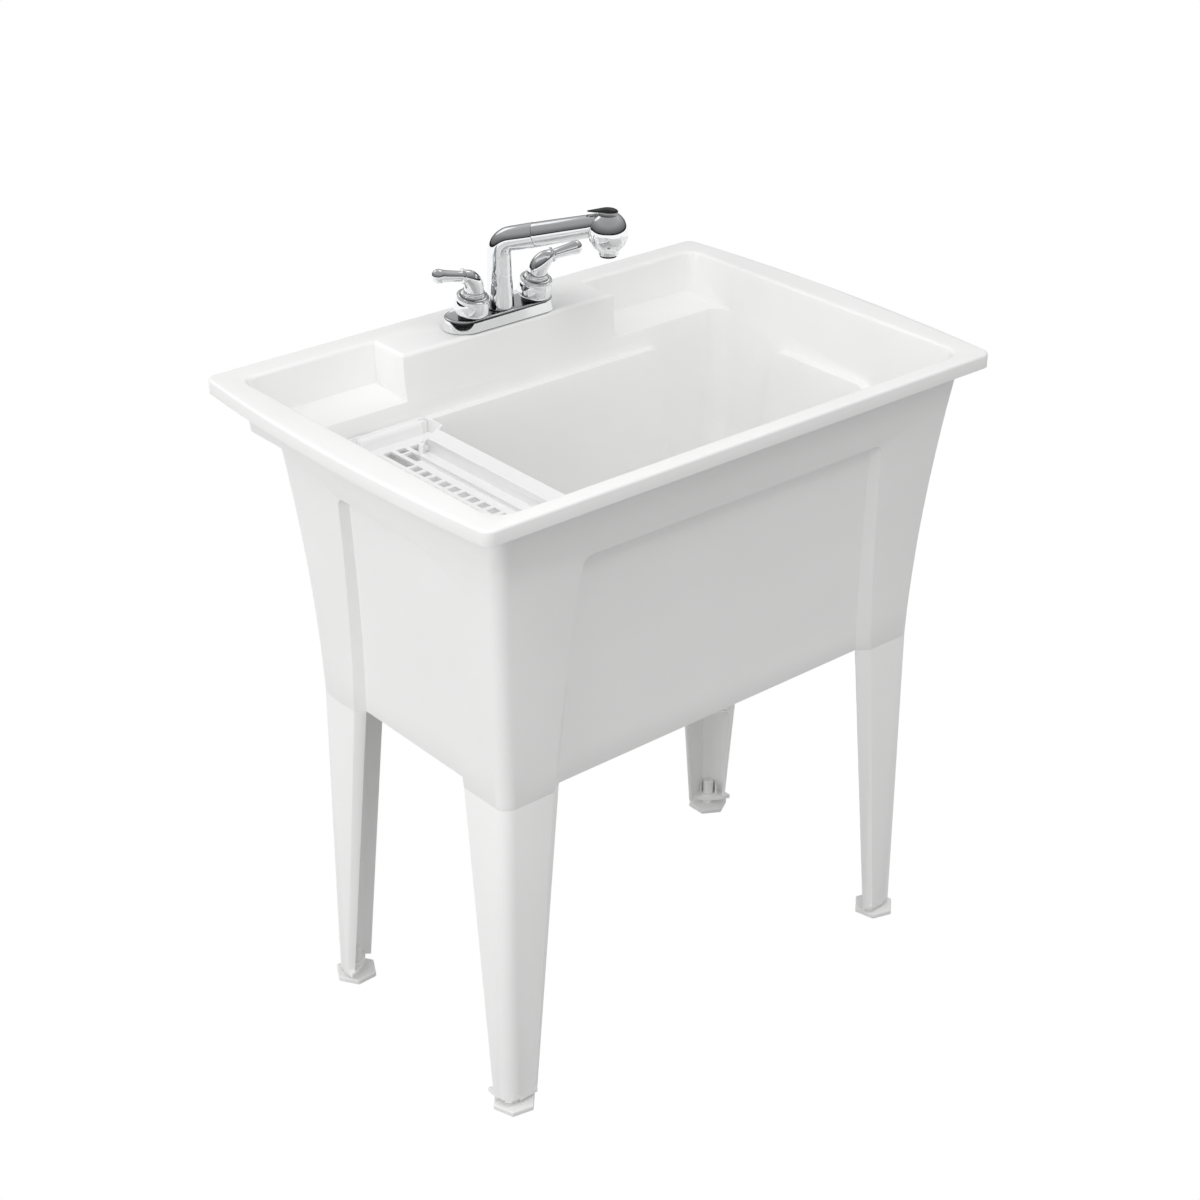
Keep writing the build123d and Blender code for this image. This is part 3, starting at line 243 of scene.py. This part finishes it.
def fitted(piece, body, node, finish, crease):
    """Smooths the piece up to its creases, gives it its finish and fits it to the frame."""
    bpy.ops.object.shade_smooth_by_angle(angle=math.radians(crease))
    piece.data.materials.clear()
    piece.data.materials.append(finish)
    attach(piece, body)
    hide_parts(node)


def own_copy(piece, name):
    """A copy with its own mesh, unturned at the origin, made the only selected piece."""
    bpy.ops.object.select_all(action="DESELECT")
    twin = piece.copy()
    twin.data = piece.data.copy()
    twin.name = name
    twin.parent = None
    twin.matrix_world = Matrix.Identity(4)
    bpy.context.scene.collection.objects.link(twin)
    bpy.context.view_layer.objects.active = twin
    twin.select_set(True)
    return twin


def eased_copy(node, name, body, finish, width):
    """A copy of a CAD node with its flat triangles merged and its edges rounded."""
    piece = own_copy(nodes[node], name)
    bpy.ops.object.mode_set(mode="EDIT")
    bpy.ops.mesh.select_all(action="SELECT")
    bpy.ops.mesh.remove_doubles(threshold=0.00002)
    bpy.ops.mesh.dissolve_limited(angle_limit=math.radians(0.3))
    bpy.ops.object.mode_set(mode="OBJECT")
    if width > 0.0:
        ease = piece.modifiers.new("ease", "BEVEL")
        ease.width = width
        ease.segments = 3
        ease.limit_method = "ANGLE"
        ease.angle_limit = math.radians(25.0)
        ease.miter_outer = "MITER_ARC"
        ease.use_clamp_overlap = True
        bpy.ops.object.modifier_apply(modifier="ease")
    fitted(piece, body, node, finish, 30.0)


white_resin = moulded("white_resin", (0.94, 0.94, 0.935), 0.42, 0.02, 900.0, 0.0002)
eased_copy("tub", "tub_shell", "sink", white_resin, 0.0015)

# ---------------------------------------------------------------------------
# Legs. Four moulded corner legs of the same resin. Each stands in the tub's column with a
# tongue, and has a web at the bottom that carries the foot's thread.
corners = ("front_left", "front_right", "back_left", "back_right")
for corner in corners:
    leg_name = "leg_shell_" + corner
    eased_copy("leg_" + corner, leg_name, "sink", white_resin, 0.0012)

# ---------------------------------------------------------------------------
# Leg screws. Four pan-head screws of zinc-plated steel, driven up through the cap plate of
# each leg into a boss under the tub.
def metal_wear_group():
    """Shader group: a gloss and height that vary along polishing or turning lines."""
    group = bpy.data.node_groups.new("metal_wear", "ShaderNodeTree")
    face = group.interface
    for name, way, kind in (
        ("Roughness", "INPUT", "NodeSocketFloat"),
        ("Spread", "INPUT", "NodeSocketFloat"),
        ("Stretch", "INPUT", "NodeSocketVector"),
        ("Roughness", "OUTPUT", "NodeSocketFloat"),
        ("Height", "OUTPUT", "NodeSocketFloat"),
    ):
        face.new_socket(name, in_out=way, socket_type=kind)
    link = group.links.new
    given = group.nodes.new("NodeGroupInput")
    made = group.nodes.new("NodeGroupOutput")
    place = shader_node(group, "TexCoord")
    pull = shader_node(group, "VectorMath", "MULTIPLY")
    lines = shader_node(group, "TexNoise", inputs={"Scale": 1.0, "Detail": 3.0})
    rough = shader_node(group, "Math", "MULTIPLY_ADD")
    link(place.outputs["Object"], pull.inputs[0])
    link(given.outputs["Stretch"], pull.inputs[1])
    link(pull.outputs["Vector"], lines.inputs["Vector"])
    link(lines.outputs["Fac"], rough.inputs[0])
    link(given.outputs["Spread"], rough.inputs[1])
    link(given.outputs["Roughness"], rough.inputs[2])
    link(rough.outputs[0], made.inputs["Roughness"])
    link(lines.outputs["Fac"], made.inputs["Height"])
    return group


metal_wear = metal_wear_group()


def metal(name, colour, roughness, spread, stretch, depth):
    """A metal whose gloss varies along its polishing or turning lines."""
    finish = bpy.data.materials.new(name)
    finish.use_nodes = True
    tree = finish.node_tree
    link = tree.links.new
    shader = tree.nodes["Principled BSDF"]
    shader.inputs["Base Color"].default_value = (*colour, 1.0)
    shader.inputs["Metallic"].default_value = 1.0
    wear = tree.nodes.new("ShaderNodeGroup")
    wear.node_tree = metal_wear
    wear.inputs["Roughness"].default_value = roughness
    wear.inputs["Spread"].default_value = spread
    wear.inputs["Stretch"].default_value = stretch
    bump = shader_node(tree, "Bump", inputs={"Strength": 0.3, "Distance": depth})
    link(wear.outputs["Roughness"], shader.inputs["Roughness"])
    link(wear.outputs["Height"], bump.inputs["Height"])
    link(bump.outputs["Normal"], shader.inputs["Normal"])
    return finish


zinc = metal("zinc_plate", (0.62, 0.63, 0.65), 0.28, 0.25, (260.0, 260.0, 260.0), 0.00002)
eased_copy("leg_screws", "leg_screw_set", "sink", zinc, 0.0003)

# ---------------------------------------------------------------------------
# Levelling feet. Pale moulded plastic: a hexagonal plate under a ringed stud that screws up
# into the web of its leg.
foot_white = moulded("foot_plastic", (0.88, 0.88, 0.875), 0.38, 0.03, 900.0, 0.0002)
for corner in corners:
    foot = "foot_" + corner
    eased_copy(foot, "levelling_" + foot, foot, foot_white, 0.0004)

# ---------------------------------------------------------------------------
# Drain. A stainless strainer cup through the bowl's floor, sealed by a rubber gasket and a
# fibre ring under a plastic lock nut, with its slip washer, steel tailpiece and slip nut.
drain_steel = metal("brushed_drain", (0.66, 0.66, 0.67), 0.20, 0.16, (40.0, 40.0, 900.0), 0.00003)
black_rubber = moulded("black_rubber", (0.028, 0.028, 0.030), 0.62, 0.15, 700.0, 0.0002, 0.3)
card_fibre = moulded("card_fibre", (0.36, 0.23, 0.12), 0.85, 0.25, 420.0, 0.0003, 0.15)
nut_plastic = moulded("nut_plastic", (0.70, 0.70, 0.69), 0.40, 0.04, 900.0, 0.0002)
for node, name, slot_name, finish, width in (
    ("strainer_body", "strainer_cup", "brushed_drain", drain_steel, 0.0005),
    ("drain_gasket", "drain_rubber_ring", "black_rubber", black_rubber, 0.0004),
    ("drain_friction_ring", "drain_fibre_ring", "card_fibre", card_fibre, 0.0),
    ("drain_lock_nut", "drain_nut", "nut_plastic", nut_plastic, 0.0006),
    ("slip_washer", "tailpiece_washer", "black_rubber", black_rubber, 0.0003),
    ("tailpiece", "tailpiece_tube", "brushed_drain", drain_steel, 0.0003),
    ("slip_nut", "tailpiece_nut", "nut_plastic", nut_plastic, 0.0006),
):
    eased_copy(node, name, "sink", finish, width)

# ---------------------------------------------------------------------------
# Strainer basket. A stainless cup with drain holes and a pull knob, and a rubber plug under
# it. It sits loose in the strainer cup.
eased_copy("strainer_basket", "basket_cup", "basket", drain_steel, 0.0)
eased_copy("strainer_plug", "basket_plug", "basket", black_rubber, 0.0004)

# ---------------------------------------------------------------------------
# Tray. A white moulded tray with rows of holes, which lies on ledges at the bowl's left end
# and lifts out.
tray_white = moulded("tray_white", (0.94, 0.94, 0.94), 0.36, 0.01, 900.0, 0.0001)
eased_copy("tray", "lift_out_tray", "tray", tray_white, 0.0)

# ---------------------------------------------------------------------------
# Faucet base. A chrome-plated cover with a dished top on a thin rubber gasket, held down by
# the brass valves and their plastic nuts under the deck. A dark ring under each bell is painted
# shade for the gap beneath it.
chrome = metal("chrome_plate", (0.93, 0.94, 0.95), 0.035, 0.02, (60.0, 60.0, 60.0), 0.00001)
gloss_black = moulded("dark_plastic", (0.012, 0.012, 0.013), 0.16, 0.10, 500.0, 0.00005, 0.5)
brass = metal("valve_brass", (0.72, 0.52, 0.22), 0.24, 0.20, (300.0, 300.0, 300.0), 0.00002)


def drawn_rings(name, rings, sides, capped):
    """A skin extruded ring by ring, each ring (x, z, lean from upright, radius) in mm.

    A capped skin is closed by its first and last ring, any other by a bridge between them.
    """
    bpy.ops.object.select_all(action="DESELECT")
    x, z, lean, radius = rings[0]
    start = (x / 1000, 0.0, z / 1000)
    bpy.ops.mesh.primitive_circle_add(
        vertices=sides, radius=radius / 1000, location=start, rotation=(0.0, lean, 0.0)
    )
    piece = bpy.context.object
    piece.name = name
    bpy.ops.object.transform_apply(location=True, rotation=True, scale=True)
    bpy.ops.object.mode_set(mode="EDIT")
    bpy.ops.mesh.select_all(action="SELECT")
    if capped:
        bpy.ops.mesh.edge_face_add()
        bpy.ops.mesh.select_all(action="SELECT")
    for next_x, next_z, next_lean, next_radius in rings[1:]:
        step = ((next_x - x) / 1000, 0.0, (next_z - z) / 1000)
        here = (next_x / 1000, 0.0, next_z / 1000)
        turn = lean - next_lean
        grow = next_radius / radius
        bpy.ops.mesh.extrude_region_move(TRANSFORM_OT_translate={"value": step})
        if abs(turn) > 1e-6:
            bpy.ops.transform.rotate(value=turn, orient_axis="Y", center_override=here)
        bpy.ops.transform.resize(value=(grow, grow, grow), center_override=here)
        x, z, lean, radius = next_x, next_z, next_lean, next_radius
    if not capped:
        bpy.ops.mesh.select_all(action="DESELECT")
        bpy.ops.mesh.select_mode(type="EDGE")
        bpy.ops.mesh.select_non_manifold()
        bpy.ops.mesh.bridge_edge_loops()
    bpy.ops.mesh.select_all(action="SELECT")
    bpy.ops.mesh.normals_make_consistent(inside=False)
    bpy.ops.object.mode_set(mode="OBJECT")
    return piece


def upright(outline, foot=0.0):
    """Level rings about the upright axis from a list of (radius, height)."""
    return [(0.0, foot + height, 0.0, radius) for radius, height in outline]


def select_where(piece, wanted):
    """Selects, in edit mode, the points of the piece whose place is wanted."""
    bpy.ops.mesh.select_all(action="DESELECT")
    skin = bmesh.from_edit_mesh(piece.data)
    for vert in skin.verts:
        vert.select = wanted(vert.co)
    bmesh.update_edit_mesh(piece.data)


def placed(place, heading=0.0, lean=0.0):
    """Turns the active piece to a heading, leans it towards the front and moves it there."""
    origin = (0.0, 0.0, 0.0)
    bpy.ops.object.mode_set(mode="EDIT")
    bpy.ops.mesh.select_all(action="SELECT")
    if heading:
        turn = -math.radians(heading)
        bpy.ops.transform.rotate(value=turn, orient_axis="Z", center_override=origin)
    if lean:
        turn = -math.radians(lean)
        bpy.ops.transform.rotate(value=turn, orient_axis="X", center_override=origin)
    bpy.ops.transform.translate(value=place)
    bpy.ops.object.mode_set(mode="OBJECT")


base_outline = (
    (27.6, 0.0), (27.9, 0.15), (27.8, 0.9), (25.6, 11.2), (25.2, 13.4), (24.9, 14.5),
    (24.3, 15.3), (23.6, 15.7), (22.9, 15.8), (22.3, 15.6), (21.8, 15.2), (21.2, 15.0),
    (18.0, 14.85), (8.0, 14.75),
)
base_half_straight = 0.0561
base_centre = (0.0, 0.2086, 0.8427)
cover = drawn_rings("faucet_base_cover", upright(base_outline), 96, True)
bpy.ops.object.mode_set(mode="EDIT")
bpy.ops.mesh.select_mode(type="VERT")
for end in (-1, 1):
    select_where(cover, lambda place: place.x * end > 0.00005)
    bpy.ops.transform.translate(value=(end * base_half_straight, 0.0, 0.0))
bpy.ops.object.mode_set(mode="OBJECT")
placed(base_centre)
fitted(cover, "sink", "faucet_base", chrome, 35.0)
for node, name, slot_name, finish, width in (
    ("faucet_gasket", "base_gasket", "black_rubber", black_rubber, 0.0),
    ("shank_nuts", "shank_nut_pair", "nut_plastic", nut_plastic, 0.0005),
    # The bell foot rings get dark plastic as painted shade: they paint the shadow and dark
    # reflection in the gap under each bell.
    ("bell_feet", "bell_foot_shade_rings", "dark_plastic", gloss_black, 0.0003),
    ("valve_left", "valve_body_left", "valve_brass", brass, 0.0003),
    ("valve_right", "valve_body_right", "valve_brass", brass, 0.0003),
):
    eased_copy(node, name, "sink", finish, width)

# ---------------------------------------------------------------------------
# Handles. A hollow chrome bell with a stepped cap sits on each leaning brass stem and turns
# with it. It carries a swan-necked horn, a thin collar and a lever that ends in a ball.
bell_foot = 7.3
bell_outline = (
    (4.6, 30.0), (12.9, 30.0), (13.5, 29.7), (13.7, 29.2), (13.7, 28.7), (14.3, 28.5),
    (14.9, 28.1), (15.0, 27.5), (14.9, 27.0), (15.6, 26.7), (16.4, 25.8), (17.0, 24.6),
    (17.3, 23.3), (17.9, 22.6), (18.8, 22.2), (20.2, 22.0), (20.9, 21.6), (21.2, 20.8),
    (21.0, 19.9), (20.5, 19.2), (20.4, 18.6), (21.0, 16.6), (21.8, 13.8), (22.5, 10.6),
    (22.9, 7.6), (23.0, 4.8), (22.8, 3.0), (22.1, 1.4), (21.0, 0.4), (20.0, 0.0),
    (19.4, 0.3), (20.6, 4.0), (20.4, 8.0), (19.0, 16.0), (16.0, 20.0), (4.6, 20.0),
)
bell_left = drawn_rings("bell_cover_left", upright(bell_outline, bell_foot), 96, False)

horn_foot = 37.3
horn_reach = 19.0
horn_rise = 22.3
horn_seat = 1.2
horn_rings = 14
horn_sweep = 80.0
reach_of_sweep = 0.8264
rise_of_sweep = 0.9848
rings = upright(((4.0, -0.4), (13.0, -0.4), (13.1, 0.4)), horn_foot)
for i in range(horn_rings + 1):
    share = i / horn_rings
    turn = math.radians(horn_sweep * share)
    out = horn_reach / reach_of_sweep
    up = horn_rise / rise_of_sweep
    x = out * (1.0 - math.cos(turn))
    z = horn_foot + horn_seat + up * math.sin(turn)
    lean = math.atan2(out * math.sin(turn), up * math.cos(turn))
    rings.append((x, z, lean, 12.5 - 0.7 * share - 5.0 * share ** 3))
lever_line = [
    (-1.9, 6.9), (-1.8, 8.7), (-1.2, 9.4), (-0.3, 9.6), (0.6, 9.4), (1.2, 8.7), (1.3, 6.9),
    (3.0, 6.7), (9.0, 6.9), (16.0, 7.2), (23.0, 7.6), (28.0, 8.1), (31.0, 8.6),
]
ball_radius = 9.1
ball_reach = 34.2
ball_rings = 11
for i in range(ball_rings + 1):
    turn = math.radians(-6.0 + 95.0 * i / ball_rings)
    lever_line.append((ball_reach + ball_radius * math.sin(turn), ball_radius * math.cos(turn)))
lever_rise = math.radians(9.0)
for reach, radius in lever_line:
    x = horn_reach + reach * math.cos(lever_rise)
    z = horn_foot + horn_seat + horn_rise + reach * math.sin(lever_rise)
    rings.append((x, z, math.pi / 2 - lever_rise, radius))
lever_left = drawn_rings("lever_horn_left", rings, 64, True)

bell_right = own_copy(bell_left, "bell_cover_right")
lever_right = own_copy(lever_left, "lever_horn_right")
handle_lean = 13.0
for side, bell, lever, valve_x, heading in (
    ("left", bell_left, lever_left, -0.0508, 170.5),
    ("right", bell_right, lever_right, 0.0508, -9.0),
):
    valve = (valve_x, 0.201, 0.8585)
    body = "handle_" + side
    eased_copy("stem_" + side, "stem_pin_" + side, body, brass, 0.0002)
    for piece, node, turned in ((bell, "bell_" + side, 0.0), (lever, "lever_" + side, heading)):
        bpy.ops.object.select_all(action="DESELECT")
        bpy.context.view_layer.objects.active = piece
        piece.select_set(True)
        placed(valve, turned, handle_lean)
        fitted(piece, body, node, chrome, 35.0)

# ---------------------------------------------------------------------------
# Spout and spray wand. A bent chrome tube swivels on the base's post. The chrome wand pulls
# out of its arm and ends in a ball head with a short collar and a dark spray plate.
eased_copy("spout", "spout_tube", "spout", chrome, 0.0003)
eased_copy("wand_sleeve", "wand_tube", "wand", chrome, 0.0003)
head_centre = (0.08187, 0.08809, 0.96896)
head_half_width = 25.3
head_half_height = 27.2
head_rings = 24
collar_outline = (
    (8.0, -27.6), (11.2, -27.9), (11.6, -28.3), (12.2, -28.2), (12.6, -27.6), (12.6, -24.4),
)
rings = upright(collar_outline)
for i in range(head_rings + 1):
    turn = math.radians(-59.0 + 117.0 * i / head_rings)
    rings.append((0.0, head_half_height * math.sin(turn), 0.0, head_half_width * math.cos(turn)))
head = drawn_rings("spray_ball", rings, 96, True)
placed(head_centre)
fitted(head, "wand", "spray_head", chrome, 35.0)
eased_copy("spray_plate", "spray_face", "wand", gloss_black, 0.0)

# ---------------------------------------------------------------------------
# Thumb button. A dome of glossy dark plastic, narrower across the arm than along it, with a
# tail that tapers towards the arm. It presses down over the flat top of the ball head.
button_outline = (
    (9.0, 26.6), (12.3, 26.6), (12.6, 26.9), (12.5, 27.5), (12.0, 28.4), (10.9, 29.4),
    (9.2, 30.2), (7.0, 30.8), (4.4, 31.2), (1.6, 31.4), (0.2, 31.4),
)
arm_heading = -55.0
button_narrowing = 0.7
tail_drop = 0.12
tail_axis_height = 0.0250
button = drawn_rings("thumb_button", upright(button_outline), 64, True)
bpy.ops.object.mode_set(mode="EDIT")
bpy.ops.mesh.select_mode(type="VERT")


def backwards(place):
    """How squarely a point lies towards the arm, from -1 to 1."""
    return -place.x / max(0.004, math.hypot(place.x, place.y))


for start, pull in ((0.55, 2.0), (0.68, 2.6), (0.78, 3.2), (0.87, 3.6), (0.94, 3.4)):
    select_where(button, lambda place: backwards(place) > start and place.z < 0.0300)
    bpy.ops.transform.translate(value=(-pull / 1000, 0.0, -tail_drop * pull / 1000))
for reach in (0.010, 0.015, 0.020):
    select_where(button, lambda place: place.x < -reach)
    tail_axis = (0.0, 0.0, tail_axis_height)
    bpy.ops.transform.resize(value=(1.0, 0.85, 0.75), center_override=tail_axis)
bpy.ops.mesh.select_all(action="SELECT")
squeeze = (1.0, button_narrowing, 1.0)
bpy.ops.transform.resize(value=squeeze, center_override=(0.0, 0.0, 0.0))
bpy.ops.object.mode_set(mode="OBJECT")
placed(head_centre, arm_heading)
fitted(button, "button", "spray_button", gloss_black, 50.0)
